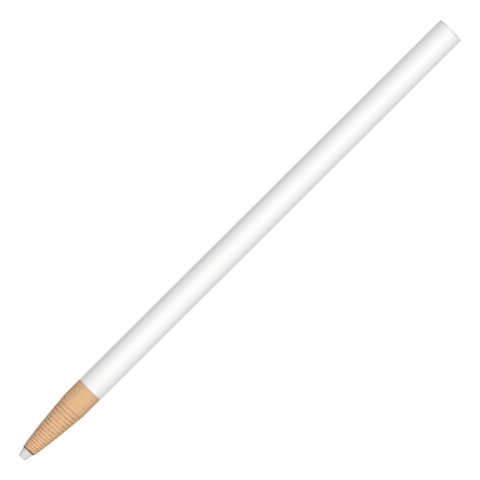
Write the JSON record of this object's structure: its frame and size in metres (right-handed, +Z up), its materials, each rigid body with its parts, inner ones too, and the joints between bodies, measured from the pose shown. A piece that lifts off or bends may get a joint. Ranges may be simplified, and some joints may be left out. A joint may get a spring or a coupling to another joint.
{
  "type": "china marker",
  "caption": "Peel-off china marker: a wax core with a blunt bare tip in a roll of kraft paper, its stepped spiral cone in front of a glossy white cover.",
  "frame": {"origin": "middle of the marker's length, on the surface it lies on, straight below its axis", "axes": "+X along the barrel from the wax tip to the cut rear end, +Z up from the surface it lies on"},
  "size_m": [0.175, 0.0086, 0.0085],
  "materials": {
    "wax": "greasy satin wax, pale grey-white",
    "string": "fine twisted cotton thread",
    "kraft": "matt tan kraft paper with fibres",
    "cover": "glossy white lacquered paper"
  },
  "bodies": {
    "marker": {"wax_core": "wax", "pull_string": "string", "peel_ribbon_02": "kraft", "peel_ribbon_03": "kraft", "peel_ribbon_04": "kraft", "peel_ribbon_05": "kraft", "peel_ribbon_06": "kraft", "peel_ribbon_07": "kraft", "peel_ribbon_08": "kraft", "peel_ribbon_09": "kraft", "peel_ribbon_10": "kraft", "peel_ribbon_11": "kraft", "peel_ribbon_12": "kraft", "peel_ribbon_13": "kraft", "peel_ribbon_14": "kraft", "peel_ribbon_15": "kraft", "peel_ribbon_16": "kraft", "tail_wrap": "kraft", "white_cover": "cover"},
    "front_ribbon": {"front_ribbon": "kraft"}
  },
  "joints": [
    {"name": "front_ribbon_peel", "type": "slide", "parent": "marker", "child": "front_ribbon", "axis": [-1, 0, 0], "range_m": [0, 0.032]}
  ]
}
